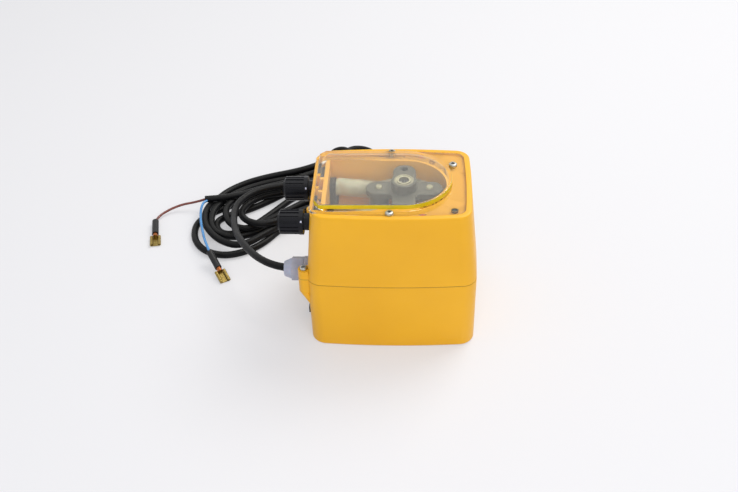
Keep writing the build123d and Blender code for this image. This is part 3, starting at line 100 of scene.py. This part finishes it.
# Control points in millimetres. The cable leaves the gland, runs through the coil's turns and
# ends at its cut sheath, where the two cores come out.
CABLE_ROUTE = (
    (-82, -14, 47.3), (-91.2, -12.4, 47.5), (-100.4, -8.1, 47), (-109.3, -0.4, 45.4),
    (-118.2, 11.2, 42.6), (-130.5, 33.5, 37.2), (-140, 58, 30.2), (-146.3, 84, 23.8),
    (-148.3, 106, 19.8), (-146.3, 117.8, 18.6), (-141.2, 128.3, 18), (-133.3, 136.6, 17.7),
    (-122.9, 142.6, 17.4), (-110.7, 146.9, 17), (-97.5, 150.6, 16.5), (-83.5, 155.5, 15.4),
    (-71, 163, 15.1), (-59.5, 171, 15.3), (-47, 176.5, 16), (-44.7, 180.9, 17.1),
    (-35.5, 182.3, 17.4), (-26.7, 179.3, 16.7), (-20.5, 172.6, 15.6), (-18.6, 163.6, 14.2),
    (-21.1, 154.8, 13.2), (-27.5, 148.3, 12.7), (-47.6, 136.2, 12.7), (-67.8, 124.1, 13.1),
    (-88, 112, 13.9), (-101, 100.1, 14.6), (-112, 91.1, 15.2), (-124, 88.2, 15.5),
    (-135.1, 93, 15), (-142.1, 102.7, 13.7), (-144, 113, 11.9), (-141, 125, 10.6),
    (-135, 134, 9.9), (-126, 141, 9.5), (-115, 145.4, 9.2), (-103.1, 149.8, 8.6),
    (-90.1, 155.4, 8), (-78.1, 168.9, 7.2), (-65.9, 182.1, 6.4), (-53.9, 195.6, 6),
    (-45.9, 200.6, 6), (-36.9, 200.6, 6.4), (-28.9, 195.8, 7.1), (-24.3, 187.6, 8.4),
    (-25.8, 178.9, 10.3), (-30.8, 171.4, 11.9), (-47.7, 156.8, 12.8), (-65.4, 142.5, 13.5),
    (-83, 128.5, 13.6), (-100.1, 114.2, 12.5), (-113, 104, 11), (-126, 94.6, 9.8),
    (-136.1, 89.5, 9.2), (-146, 91.5, 9.3), (-154, 99.1, 9.4), (-158.5, 110, 9.4),
    (-160, 120.9, 8.9), (-157.7, 131.6, 8.1), (-150.3, 141.7, 8.4), (-139.1, 148.7, 9.1),
    (-126, 154, 8.9), (-112.5, 160.1, 8.5), (-97.8, 166.9, 9), (-81.4, 177.3, 9.5),
    (-69.9, 191.5, 9), (-58.8, 206.1, 8.7), (-47.9, 212.1, 8.8), (-35.6, 211.9, 8.7),
    (-25, 205.6, 8.2), (-18.7, 194.7, 7.7), (-18.7, 181.6, 7.2), (-25.9, 170.6, 7),
    (-45.1, 156.5, 7.1), (-62.8, 141.6, 7.9), (-82, 127.6, 7.9), (-100.4, 113.2, 6.3),
    (-113, 103, 4.8), (-123.9, 94.4, 3.8), (-134.9, 87.6, 3.6), (-145, 83.8, 4.2),
    (-154.4, 83.1, 5.4), (-163.6, 87.2, 6.3), (-169.6, 95.8, 6.9), (-172, 107.1, 7.6),
    (-171.2, 118.7, 8.6), (-167.3, 131.2, 7.7), (-158.7, 145.8, 6.2), (-148, 155.5, 6),
    (-135, 163.5, 6.2), (-121.1, 168.5, 6.9), (-107, 172.4, 7.4), (-94.6, 176.7, 6.6),
    (-78.7, 192.8, 4.9), (-61.7, 207.7, 3.7), (-48.2, 214.4, 3.2), (-33.1, 214.1, 3.2),
    (-20.3, 206.2, 3.2), (-13.7, 192.8, 3.2), (-14.7, 178, 3.2), (-23.1, 165.9, 3.3),
    (-42.4, 150, 4.1), (-61.6, 134, 5.3), (-80.4, 117.5, 7), (-99.6, 101.6, 8.4),
    (-110.9, 90.9, 9.1), (-121.6, 79.6, 9.2), (-132, 69.5, 8.5), (-143, 66.5, 8.1),
    (-153, 70, 8.2), (-162.4, 76.7, 8.6), (-169.4, 85.4, 9.1), (-175.3, 95.5, 9.4),
    (-177.9, 107.8, 9.3), (-178.3, 118.2, 8.7), (-176.7, 130.1, 6.9), (-171.6, 140.9, 5.5),
    (-164, 153.5, 5.4), (-154, 162.5, 5.8), (-143, 169.3, 6.5), (-131, 173.5, 7.7),
    (-119.1, 176.1, 9.2), (-105.1, 178, 11.1), (-92.2, 180.4, 13.1), (-80, 185.1, 14.6),
    (-68.5, 193.5, 14.7), (-51.2, 210.9, 14.6), (-44.3, 215.6, 14.6), (-35.7, 215.4, 14.3),
    (-28.3, 211.3, 14.3), (-23.9, 204, 14.3), (-23.9, 195.8, 14), (-28.1, 188.2, 12.4),
    (-44.5, 167.9, 9.5), (-62.7, 150.1, 5.4), (-78.7, 129.7, 3.2), (-95.6, 109.7, 3.2),
    (-107.4, 96.3, 3.2), (-117, 79.9, 3.2), (-126.9, 68.8, 3.2), (-139, 61.5, 3.2),
    (-151, 58, 3.2), (-163, 60, 3.2), (-173, 66, 3.2), (-180, 74.5, 3.2), (-184.5, 85.5, 3.2),
    (-186, 98, 3.2), (-184, 108.8, 3.2), (-177, 118.8, 3.2), (-164.8, 128.8, 3.2),
    (-149.9, 139.9, 3.2), (-132, 153.1, 3.2), (-114, 163.7, 3.2), (-95.5, 172.1, 3.2),
    (-76, 187.6, 3.2), (-57.4, 203.4, 3.2), (-45.6, 208.6, 3.2), (-33, 206.6, 3.2),
    (-23.7, 197.3, 3.2), (-22.2, 184.7, 3.2), (-28.7, 173.7, 3.2), (-39, 166.5, 3.2),
    (-58.7, 161.6, 3.2), (-78.2, 155.2, 3.2), (-97.9, 149.6, 3.2), (-110.9, 130.6, 3.2),
    (-123, 113.5, 3.2), (-133, 101, 3.2), (-143, 91.6, 3.2), (-155.4, 88.5, 3.2),
    (-163.8, 94.5, 3.2), (-167.4, 104, 3.2), (-164.9, 112, 3.2), (-155, 119.4, 3.2),
    (-141.8, 126, 3.2), (-128, 136.1, 3.2), (-111.8, 150.8, 3.2), (-96.1, 163.8, 4.3),
    (-82.8, 183.4, 8), (-69, 202.1, 12.6), (-63, 207.1, 17.5), (-54.2, 205.5, 20.5),
    (-46.9, 199.4, 20.3), (-45.3, 192.3, 18.1), (-48.1, 185, 16.3), (-54.7, 180.7, 15.2),
    (-64, 184.5, 14.8), (-73.9, 176.6, 14.7), (-87, 171, 13), (-99, 162.5, 13.2),
    (-110, 156, 13.2), (-121, 151.5, 13.2), (-131.5, 146.8, 13.1), (-141, 141.3, 13),
    (-150, 137.2, 12.9), (-160, 134.4, 12.8), (-169.5, 132.5, 12.8), (-180.8, 131, 12.8),
)
BROWN_ROUTE = (
    (-178.0, 132.6, 12.8), (-186.0, 131.8, 10.2), (-194.0, 131.6, 8.2), (-202.5, 131.2, 6.6),
    (-210.5, 128.5, 5.0), (-217.6, 123.4, 3.9), (-222.9, 116.8, 3.5), (-225.0, 108.4, 3.4),
    (-223.95, 102.7, 3.3),
)
BLUE_ROUTE = (
    (-177.2, 130.4, 12.8), (-181.2, 126.6, 12.9), (-182.2, 119.3, 13.0), (-181.6, 109.5, 13.1),
    (-179.4, 97.0, 13.0), (-175.8, 83.2, 12.7), (-172.0, 70.5, 12.9), (-168.2, 60.8, 12.9),
    (-164.3, 52.2, 11.8), (-161.4, 47.4, 10.2),
)


def lay_cord(name, route, radius, coat, around=5):
    """A round cord on one smooth spline through its control points."""
    line = bpy.data.curves.new(name, "CURVE")
    line.dimensions = "3D"
    line.bevel_depth = radius
    line.bevel_resolution = around
    line.resolution_u = 8
    line.use_fill_caps = True
    run = line.splines.new("NURBS")
    run.points.add(len(route) - 1)
    for point, place in zip(run.points, route):
        point.co = (place[0] * MM, place[1] * MM, place[2] * MM, 1.0)
    run.order_u = 3
    run.use_endpoint_u = True
    line.materials.append(coat)
    cord = bpy.data.objects.new(name, line)
    scene.collection.objects.link(cord)
    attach(cord, "housing")
    return cord


# Finishes ----------------------------------------------------------------------------------

def moulded(name, light, deep, rough, patch=18.0, grain=0.35, relief=0.02, dust=0.0, seam_shade="",
            **sockets):
    """Moulded or drawn plastic: cloudy colour between two tones, grain, and dust on upward faces.
    The seam colour is painted shade, darkening the housing's seam groove. patch, grain and relief
    (a depth) are in mm."""
    coat, tree, out = blank(name)
    place = add(tree, "TexCoord").outputs["Object"]
    cloud = add(tree, "TexNoise", {"Vector": place, "Scale": 1000 / patch, "Detail": 3.0})
    tone = add(tree, "ValToRGB", {"Fac": cloud.outputs["Fac"]})
    tone.color_ramp.elements[0].position, tone.color_ramp.elements[0].color = 0.30, rgb(deep)
    tone.color_ramp.elements[1].position, tone.color_ramp.elements[1].color = 0.68, rgb(light)
    speck = add(tree, "TexNoise", {"Vector": place, "Scale": 1000 / grain, "Detail": 2.0})
    scuff = add(tree, "TexNoise", {"Vector": place, "Scale": 260.0, "Detail": 5.0,
                                   "Distortion": 0.6})
    shine = add(tree, "MapRange", {"Value": scuff.outputs["Fac"], "From Min": 0.3,
                                   "From Max": 0.72, "To Min": rough - 0.07,
                                   "To Max": rough + 0.09})
    colour = tone.outputs["Color"]
    if dust:
        up = add(tree, "SeparateXYZ", {"Vector": add(tree, "NewGeometry").outputs["Normal"]})
        lies = add(tree, "MapRange", {"Value": up.outputs["Z"], "From Min": 0.55, "From Max": 1.0,
                                      "To Min": 0.0, "To Max": dust})
        film = add(tree, "Math", {0: lies.outputs["Result"], 1: scuff.outputs["Fac"]},
                   operation="MULTIPLY")
        mixed = add(tree, "MixRGB", {"Fac": film.outputs[0], "Color1": colour,
                                     "Color2": rgb("A9A79E")})
        colour = mixed.outputs["Color"]
    # painted shade: a darker band along the housing's seam groove
    if seam_shade:
        high = add(tree, "SeparateXYZ", {"Vector": place}).outputs["Z"]
        off = add(tree, "Math", {0: high, 1: SEAM_Z}, operation="SUBTRACT")
        away = add(tree, "Math", {0: off.outputs[0]}, operation="ABSOLUTE")
        seam_shade_mask = add(tree, "MapRange", {"Value": away.outputs[0], "From Min": 0.0002,
                                      "From Max": 0.0006, "To Min": 0.62, "To Max": 0.0})
        mixed = add(tree, "MixRGB", {"Fac": seam_shade_mask.outputs["Result"], "Color1": colour,
                                     "Color2": rgb(seam_shade)})
        colour = mixed.outputs["Color"]
    relief_map = add(tree, "Bump", {"Height": speck.outputs["Fac"], "Strength": 0.5,
                                    "Distance": relief * MM})
    skin = add(tree, "BsdfPrincipled", {"Base Color": colour, "Roughness": shine.outputs["Result"],
                                        "Normal": relief_map.outputs["Normal"], **sockets})
    tree.links.new(skin.outputs["BSDF"], out.inputs["Surface"])
    return coat


def metal(name, light, deep, rough, streak, relief=0.01):
    """Bare or plated metal: fine scratches in two tones. streak is the x, y, z scale per mm."""
    coat, tree, out = blank(name)
    place = add(tree, "TexCoord").outputs["Object"]
    drawn = add(tree, "Mapping", {"Vector": place, "Scale": [1000 * s for s in streak]})
    lines = add(tree, "TexNoise", {"Vector": drawn.outputs["Vector"], "Scale": 1.0, "Detail": 6.0})
    tone = add(tree, "ValToRGB", {"Fac": lines.outputs["Fac"]})
    tone.color_ramp.elements[0].position, tone.color_ramp.elements[0].color = 0.32, rgb(deep)
    tone.color_ramp.elements[1].position, tone.color_ramp.elements[1].color = 0.66, rgb(light)
    shine = add(tree, "MapRange", {"Value": lines.outputs["Fac"], "From Min": 0.3, "From Max": 0.7,
                                   "To Min": rough - 0.08, "To Max": rough + 0.1})
    dents = add(tree, "Bump", {"Height": lines.outputs["Fac"], "Strength": 0.4,
                               "Distance": relief * MM})
    skin = add(tree, "BsdfPrincipled", {"Base Color": tone.outputs["Color"], "Metallic": 1.0,
                                        "Roughness": shine.outputs["Result"],
                                        "Normal": dents.outputs["Normal"]})
    tree.links.new(skin.outputs["BSDF"], out.inputs["Surface"])
    return coat


# satin yellow of the two housing halves: warm and even, with a trace of mould grain and dust, and
# painted shade along the seam between them
housing_yellow = moulded("satin_yellow_plastic", "EBAE0C", "E5A706", 0.40, patch=60, grain=0.5,
                         relief=0.012, dust=0.04, seam_shade="96761A")
# ribbed nuts: near-black with a navy cast and a soft sheen along the ribs
nut_black = moulded("navy_black_plastic", "0D0E15", "06070C", 0.32, patch=9, grain=0.3,
                    relief=0.02, dust=0.03, **{"Specular IOR Level": 0.22})
# small black clips, boots and the wall bracket: duller than the nuts
trim_black = moulded("dull_black_plastic", "151517", "0C0C0E", 0.46, patch=6, grain=0.25,
                     relief=0.03, dust=0.06, **{"Specular IOR Level": 0.3})
# rotor: dark olive grey glass-filled plastic with a visible fleck
rotor_grey = moulded("glass_filled_grey_plastic", "45473F", "33352F", 0.42, patch=1.6, grain=0.3,
                     relief=0.03, dust=0.15)
# gland parts: cool blue-grey polyamide, slightly waxy
gland_grey = moulded("blue_grey_polyamide", "B4B8C8", "A0A5B6", 0.38, patch=7, grain=0.35,
                     relief=0.015, **{"Subsurface Weight": 0.08, "Subsurface Scale": 0.0015})
# pump hose: milky grey-green rubber, light passing a little way in
hose_skin = moulded("milky_hose_rubber", "B9BBA9", "A2A492", 0.4, patch=5, grain=0.5, relief=0.02,
                    **{"Subsurface Weight": 0.25, "Subsurface Scale": 0.002})
# black gaskets with a matt, slightly bloomed face
gasket_black = moulded("matt_gasket_rubber", "2B2B2A", "1D1D1D", 0.75, patch=3, grain=0.2,
                       relief=0.04)
# rollers, pins and bearing ring: cream acetal, smooth and a little translucent
acetal = moulded("cream_acetal", "A9A88F", "96947C", 0.3, patch=4, grain=0.4, relief=0.01,
                 **{"Subsurface Weight": 0.1, "Subsurface Scale": 0.0015})
# terminal block, bush and grip rings: plain off-white plastic
off_white = moulded("off_white_plastic", "E3E1D8", "D3D0C4", 0.4, patch=6, grain=0.4, relief=0.015)
# cable jacket: soft black vinyl, faintly streaked and dusty on top
vinyl_black = moulded("soft_black_vinyl", "101113", "070708", 0.40, patch=8, grain=0.45,
                      relief=0.03, dust=0.05, **{"Specular IOR Level": 0.14})
# core insulation: glossy brown and light blue vinyl
vinyl_brown = moulded("brown_vinyl", "7A3F33", "5F2D25", 0.35, patch=3, grain=0.3, relief=0.01)
vinyl_blue = moulded("light_blue_vinyl", "5898CF", "4482BC", 0.35, patch=3, grain=0.3, relief=0.01)
# reddish dots painted as the shade of small recesses in the deck under the cover
reddish_recess_shade = moulded("reddish_recess_shade", "C05A48", "A84636", 0.6, patch=1.5, grain=0.3, relief=0.05)
# pale paint for the painted highlights on the union nuts' flanges
nut_highlight_paint = moulded("pale_painted_highlight", "C9CCDD", "AEB2C8", 0.5, patch=1.0, grain=0.2,
                      relief=0.03)
# zinc-plated screws: bright with faint cloudy spangle
zinc_plate = metal("zinc_plate", "C9CBC6", "A3A5A1", 0.3, (0.7, 0.7, 0.7))
# turned steel of the shaft and motor can
turned_steel = metal("turned_steel", "B9BABC", "8F9092", 0.28, (0.2, 0.2, 3.0))
# grey enamel on the gear case
case_enamel = moulded("grey_enamel", "5E6062", "4F5153", 0.45, patch=12, grain=0.6, relief=0.03)
# stamped brass of the push-on receptacles, yellow with drawn lines
stamped_brass = metal("stamped_brass", "AE985A", "7C6832", 0.32, (0.5, 2.2, 0.5))
# copper-coloured crimp barrels
copper_crimp = metal("copper_crimp", "B9703F", "8E5230", 0.3, (1.5, 1.5, 1.5))


def clear_plastic():
    """Clear, faintly warm acrylic with soft scuffs; lets the light through to the chamber."""
    coat, tree, out = blank("warm_clear_acrylic")
    place = add(tree, "TexCoord").outputs["Object"]
    scuff = add(tree, "TexNoise", {"Vector": place, "Scale": 90.0, "Detail": 6.0,
                                   "Distortion": 0.8})
    shine = add(tree, "MapRange", {"Value": scuff.outputs["Fac"], "From Min": 0.35,
                                   "From Max": 0.75, "To Min": 0.03, "To Max": 0.12})
    ripple = add(tree, "TexNoise", {"Vector": place, "Scale": 60.0, "Detail": 1.0})
    sink = add(tree, "Bump", {"Height": ripple.outputs["Fac"], "Strength": 0.15,
                              "Distance": 0.2 * MM})
    glass = add(tree, "BsdfPrincipled", {"Base Color": rgb("FEFCF4"), "IOR": 1.52,
                                         "Transmission Weight": 0.975, "Specular IOR Level": 0.38,
                                         "Normal": sink.outputs["Normal"],
                                         "Roughness": shine.outputs["Result"]})
    through = add(tree, "BsdfTransparent", {"Color": rgb("FDFBF4")})
    ray = add(tree, "LightPath")
    lets = add(tree, "Math", {0: ray.outputs["Is Shadow Ray"], 1: ray.outputs["Is Diffuse Ray"]},
               operation="MAXIMUM")
    both = add(tree, "MixShader", {0: lets.outputs[0], 1: glass.outputs["BSDF"],
                                   2: through.outputs["BSDF"]})
    tree.links.new(both.outputs["Shader"], out.inputs["Surface"])
    return coat


clear_acrylic = clear_plastic()


def lit_edge():
    """Step of the cover: a painted yellow-green glow, the light caught inside painted into its
    colour; clear from within.
    """
    coat, tree, out = blank("painted_edge_glow_acrylic")
    place = add(tree, "TexCoord").outputs["Object"]
    cloud = add(tree, "TexNoise", {"Vector": place, "Scale": 45.0, "Detail": 2.0})
    tone = add(tree, "ValToRGB", {"Fac": cloud.outputs["Fac"]})
    tone.color_ramp.elements[0].position, tone.color_ramp.elements[0].color = 0.35, rgb("D3BC10")
    tone.color_ramp.elements[1].position, tone.color_ramp.elements[1].color = 0.65, rgb("E4CE2C")
    skin = add(tree, "BsdfPrincipled", {"Base Color": tone.outputs["Color"], "Roughness": 0.12,
                                        "IOR": 1.49, "Transmission Weight": 0.1})
    clear = add(tree, "BsdfTransparent", {"Color": rgb("FFFDF2")})
    high = add(tree, "SeparateXYZ", {"Vector": place}).outputs["Z"]
    foot = add(tree, "Math", {0: high, 1: STEP_FOOT_Z}, operation="LESS_THAN")
    inside = add(tree, "NewGeometry").outputs["Backfacing"]
    lets = add(tree, "Math", {0: foot.outputs[0], 1: inside}, operation="MAXIMUM")
    both = add(tree, "MixShader", {0: lets.outputs[0], 1: skin.outputs["BSDF"],
                                   2: clear.outputs["BSDF"]})
    tree.links.new(both.outputs["Shader"], out.inputs["Surface"])
    return coat


painted_glow_acrylic = lit_edge()


def ringed_acetal():
    """Bearing face: cream rings centred on the shaft; the dark rings between them and the darker
    middle are painted shade of the gaps and the socket.
    """
    coat, tree, out = blank("ringed_cream_acetal")
    place = add(tree, "TexCoord").outputs["Object"]
    flat = add(tree, "VectorMath", {0: place, 1: (1.0, 1.0, 0.0)}, operation="MULTIPLY")
    away = add(tree, "VectorMath", {0: flat.outputs[0], 1: (SHAFT_X, 0.0, 0.0)},
               operation="DISTANCE")
    reach = add(tree, "MapRange", {"Value": away.outputs["Value"], "From Max": 0.010})
    rings_and_shade = add(tree, "ValToRGB", {"Fac": reach.outputs["Result"]})
    ramp = rings_and_shade.color_ramp
    ramp.interpolation = "CONSTANT"
    ramp.elements[0].position, ramp.elements[0].color = 0.0, rgb("6F6D58")
    ramp.elements[1].position, ramp.elements[1].color = 0.42, rgb("BDBAA0")
    for spot, tint in ((0.53, "4A493C"), (0.57, "C4C1A6"), (0.665, "4A493C"), (0.70, "B3B098")):
        ramp.elements.new(spot).color = rgb(tint)
    haze = add(tree, "TexNoise", {"Vector": place, "Scale": 700.0, "Detail": 3.0})
    mixed = add(tree, "MixRGB", {"Fac": 0.12, "Color1": rings_and_shade.outputs["Color"],
                                 "Color2": haze.outputs["Color"]}, blend_type="SOFT_LIGHT")
    skin = add(tree, "BsdfPrincipled", {"Base Color": mixed.outputs["Color"], "Roughness": 0.32})
    tree.links.new(skin.outputs["BSDF"], out.inputs["Surface"])
    return coat


bearing_face = ringed_acetal()


def seen_plainly(tree):
    """1 for camera, glossy and transmission rays, which meet the plain pale room."""
    ray = add(tree, "LightPath")
    shown = add(tree, "Math", {0: ray.outputs["Is Camera Ray"], 1: ray.outputs["Is Glossy Ray"]},
                operation="MAXIMUM")
    shown = add(tree, "Math", {0: shown.outputs[0], 1: ray.outputs["Is Transmission Ray"]},
                operation="MAXIMUM")
    return shown.outputs[0]


def room():
    """Pale floor that keeps the shadow, pale air, and soft lamps behind, in front and above."""
    coat, tree, out = blank("pale_studio_floor")
    lit = add(tree, "BsdfDiffuse", {"Color": rgb("E2E1E3")})
    glow = add(tree, "Emission", {"Color": rgb("F3F3F4"), "Strength": 1.0})
    share = add(tree, "Math", {0: seen_plainly(tree), 1: 0.42}, operation="MULTIPLY")
    both = add(tree, "MixShader", {0: share.outputs[0], 1: lit.outputs["BSDF"],
                                   2: glow.outputs["Emission"]})
    tree.links.new(both.outputs["Shader"], out.inputs["Surface"])
    sheet = bpy.data.meshes.new("floor")
    slab = bmesh.new()
    bmesh.ops.create_grid(slab, x_segments=1, y_segments=1, size=4.0)
    slab.to_mesh(sheet)
    slab.free()
    sheet.materials.append(coat)
    floor = bpy.data.objects.new("floor", sheet)
    scene.collection.objects.link(floor)

    world = bpy.data.worlds.new("pale_room")
    world.use_nodes = True
    tree = world.node_tree
    tree.nodes.clear()
    out = add(tree, "OutputWorld")
    air = add(tree, "Background", {"Color": rgb("F2F4FA"), "Strength": 0.54})
    white = add(tree, "Background", {"Color": rgb("F7F7F8"), "Strength": 1.0})
    both = add(tree, "MixShader", {0: seen_plainly(tree), 1: air.outputs[0], 2: white.outputs[0]})
    tree.links.new(both.outputs[0], out.inputs["Surface"])
    scene.world = world

    for name, place, aim, size, power, tint in (
        ("key_panel", (0.65, 0.75, 1.35), (0.0, 0.0, 0.06), 0.9, 15.5, "FFFDF8"),
        ("front_panel", (0.3, -1.4, 1.1), (0.0, 0.0, 0.05), 1.4, 16.5, "F8F9FF"),
        ("top_panel", (0.1, 0.1, 1.6), (0.0, 0.0, 0.0), 1.0, 3.0, "FFFFFF"),
    ):
        lamp = bpy.data.lights.new(name, "AREA")
        lamp.shape, lamp.size, lamp.energy, lamp.color = "SQUARE", size, power, rgb(tint)[:3]
        holder = bpy.data.objects.new(name, lamp)
        facing = Vector(aim) - Vector(place)
        turn = facing.to_track_quat("-Z", "Y").to_matrix().to_4x4()
        holder.matrix_world = Matrix.Translation(place) @ turn
        holder.visible_glossy = name != "front_panel"
        scene.collection.objects.link(holder)


room()

# CAD solids, merged, smoothed between their sharp edges and coated ---------------------------

def settle(name, skin, body, coat, crease):
    """Smooth a bmesh between edges sharper than crease degrees and make it a piece on a body."""
    for face in skin.faces:
        face.smooth = True
    for edge in skin.edges:
        edge.smooth = len(edge.link_faces) == 2 and edge.calc_face_angle(0.0) < radians(crease)
    shape = bpy.data.meshes.new(name)
    skin.to_mesh(shape)
    skin.free()
    shape.materials.append(coat)
    piece = bpy.data.objects.new(name, shape)
    scene.collection.objects.link(piece)
    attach(piece, body)
    return piece


def dress(node, body, coat):
    """A merged copy of a CAD solid, smooth between its sharp edges, in its finish."""
    skin = bmesh.new()
    skin.from_mesh(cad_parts[node].data)
    bmesh.ops.remove_doubles(skin, verts=skin.verts, dist=0.000004)
    piece = settle(node + "_skin", skin, body, coat, 28.0)
    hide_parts(node)
    return piece


dressed = {}
for node, body, slot, coat in (
    ("lower_housing", "housing", "yellow_plastic", housing_yellow),
    ("upper_housing", "housing", "yellow_plastic", housing_yellow),
    ("housing_seal", "housing", "seal_rubber", gasket_black),
    ("clear_cover", "housing", "clear_plastic", clear_acrylic),
    ("cover_screws", "housing", "zinc", zinc_plate),
    ("housing_screws", "housing", "zinc", zinc_plate),
    ("wall_bracket", "housing", "black_plastic", trim_black),
    ("rear_connector", "housing", "grey_plastic", nut_black),
    ("front_connector", "housing", "grey_plastic", nut_black),
    ("rear_clip", "housing", "black_plastic", trim_black),
    ("front_clip", "housing", "black_plastic", trim_black),
    ("pump_hose", "housing", "hose_rubber", hose_skin),
    ("shaft_bush", "housing", "white_plastic", off_white),
    ("gearbox", "housing", "motor_metal", case_enamel),
    ("motor", "housing", "steel", turned_steel),
    ("gearbox_screws", "housing", "zinc", zinc_plate),
    ("terminal_block", "housing", "white_plastic", off_white),
    ("inner_leads", "housing", "cable_sheath", vinyl_black),
    ("gland_body", "housing", "gland_plastic", gland_grey),
    ("gland_seal", "housing", "seal_rubber", gasket_black),
    ("gland_nut", "housing", "gland_plastic", gland_grey),
    ("gland_locknut", "housing", "gland_plastic", gland_grey),
    ("boot_brown", "housing", "black_plastic", trim_black),
    ("boot_blue", "housing", "black_plastic", trim_black),
    ("receptacle_brown", "housing", "brass", stamped_brass),
    ("receptacle_blue", "housing", "brass", stamped_brass),
    ("rotor_frame", "rotor", "grey_plastic", rotor_grey),
    ("rotor_base", "rotor", "grey_plastic", rotor_grey),
    ("hub_bearing", "rotor", "cream_plastic", bearing_face),
    ("rotor_screw", "rotor", "steel", turned_steel),
    ("roller_pins", "rotor", "cream_plastic", acetal),
    ("drive_shaft", "rotor", "steel", turned_steel),
    ("left_roller", "left_roller_body", "grey_plastic", rotor_grey),
    ("right_roller", "right_roller_body", "grey_plastic", rotor_grey),
    ("rear_grip_ring", "rear_ring", "white_plastic", off_white),
    ("front_grip_ring", "front_ring", "white_plastic", off_white),
    ("rear_union_nut", "rear_nut", "black_plastic", nut_black),
    ("front_union_nut", "front_nut", "black_plastic", nut_black),
):
    dressed[node] = dress(node, body, coat)

# Clear cover's step gets the painted yellow-green glow; the receptacles' crimp barrels are copper
# coloured
step = dressed["clear_cover"].data
step.materials.append(painted_glow_acrylic)
for face in step.polygons:
    out = face.center - Vector((min(face.center.x, 0.014), 0.0, 0.0))
    if out.x > -0.02:
        out.x = max(out.x, 0.0)
    upright = abs(face.normal.z) < 0.6
    if upright and STEP_LOW < face.center.z < STEP_HIGH and out.dot(face.normal) > 0.002:
        face.material_index = 1
for colour in ("brown", "blue"):
    boot = dressed["boot_" + colour].data
    barrel = dressed["receptacle_" + colour].data
    barrel.materials.append(copper_crimp)
    middle = sum((v.co for v in boot.vertices), Vector()) / len(boot.vertices)
    for face in barrel.polygons:
        if (face.center - middle).length < CRIMP_REACH:
            face.material_index = 1

# Small pieces that the solids leave out ---------------------------------------------------------

def keep(name, skin, body, coat):
    """Turn a finished bmesh into a piece that rides on a body."""
    bmesh.ops.remove_doubles(skin, verts=skin.verts, dist=0.000002)
    bmesh.ops.recalc_face_normals(skin, faces=skin.faces)
    settle(name, skin, body, coat, 30.0)


def turned(profile, centre, steps=48):
    """Spin a profile of (radius, height) in mm about an upright axis through centre, in mm."""
    skin = bmesh.new()
    ring = [skin.verts.new((r * MM, 0.0, z * MM)) for r, z in profile]
    line = [skin.edges.new(pair) for pair in zip(ring, ring[1:])]
    bmesh.ops.spin(skin, geom=ring + line, cent=(0, 0, 0), axis=(0, 0, 1), angle=2 * pi,
                   steps=steps, use_merge=True)
    bmesh.ops.translate(skin, verts=skin.verts, vec=[c * MM for c in centre])
    return skin


def slab(size, centre, turn=Matrix.Identity(4), round_off=0.1):
    """Small block in mm with rounded edges, turned about its own centre."""
    skin = bmesh.new()
    bmesh.ops.create_cube(skin, size=1.0)
    bmesh.ops.scale(skin, verts=skin.verts, vec=[s * MM for s in size])
    bmesh.ops.bevel(skin, geom=list(skin.edges), offset=round_off * MM, segments=2, profile=0.5,
                    affect="EDGES", material=-1)
    bmesh.ops.transform(skin, verts=skin.verts, matrix=turn)
    bmesh.ops.translate(skin, verts=skin.verts, vec=[c * MM for c in centre])
    return skin


# dark grey plug in the cover's spare hole, with a sunk middle: a dark piece put in as painted
# shade of the hole
hole_shade_disc = turned(((0, 121.6), (1.5, 121.6), (1.9, 122.0), (2.5, 122.0), (2.75, 121.8), (2.75, 119.2),
               (0, 119.2)), (48.2, -36.0, 0))
keep("hole_shade_plug", hole_shade_disc, "housing", rotor_grey)
# reddish dots on the deck under the cover: painted shade of small recesses there
for side, name in ((1, "rear_recess_shade_dot"), (-1, "front_recess_shade_dot")):
    dot = turned(((0, 119.06), (1.5, 119.06), (1.7, 118.9), (0, 118.9)),
                 (24.0, side * 40.8, 0), 24)
    keep(name, dot, "housing", reddish_recess_shade)
# dark crosses on the cover screws' heads: painted shade standing in for their cross recesses
head_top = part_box("cover_screws")[1].z / MM
askew = Matrix.Rotation(radians(35), 4, "Z")
for number, (x, y) in enumerate(((-1.0, 41.6), (-1.0, -41.6), (47.8, 23.5))):
    middle = (x, y, head_top - 0.2)
    cross = slab((3.0, 0.55, 0.5), middle, askew, 0.05)
    other = slab((0.55, 3.0, 0.5), middle, askew, 0.05)
    extra = bpy.data.meshes.new("arm")
    other.to_mesh(extra)
    other.free()
    cross.from_mesh(extra)
    bpy.data.meshes.remove(extra)
    keep("screw_recess_shade_%d" % (number + 1), cross, "housing", trim_black)
# pale painted highlights on the union nuts' flanges
for port, y, body in (("rear", 22.4, "rear_nut"), ("front", -22.4, "front_nut")):
    low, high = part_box(port + "_union_nut")
    reach = (high.z - low.z) / 2 / MM
    tilt = radians(145)
    spot = (high.x / MM - 1.3, y + cos(tilt) * reach, 101 + sin(tilt) * reach)
    highlight_patch = slab((1.3, 0.5, 1.6), spot, Matrix.Rotation(tilt, 4, "X"), 0.12)
    keep(port + "_nut_painted_highlight", highlight_patch, body, nut_highlight_paint)

# Cable and cores -----------------------------------------------------------------------------

cable = lay_cord("supply_cable", CABLE_ROUTE, 0.00315, vinyl_black)
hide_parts("cable_lead", "cable_coil", "cable_tail")
brown = lay_cord("brown_core_wire", BROWN_ROUTE, 0.00115, vinyl_brown, 3)
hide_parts("core_brown")
blue = lay_cord("blue_core_wire", BLUE_ROUTE, 0.00115, vinyl_blue, 3)
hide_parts("core_blue")
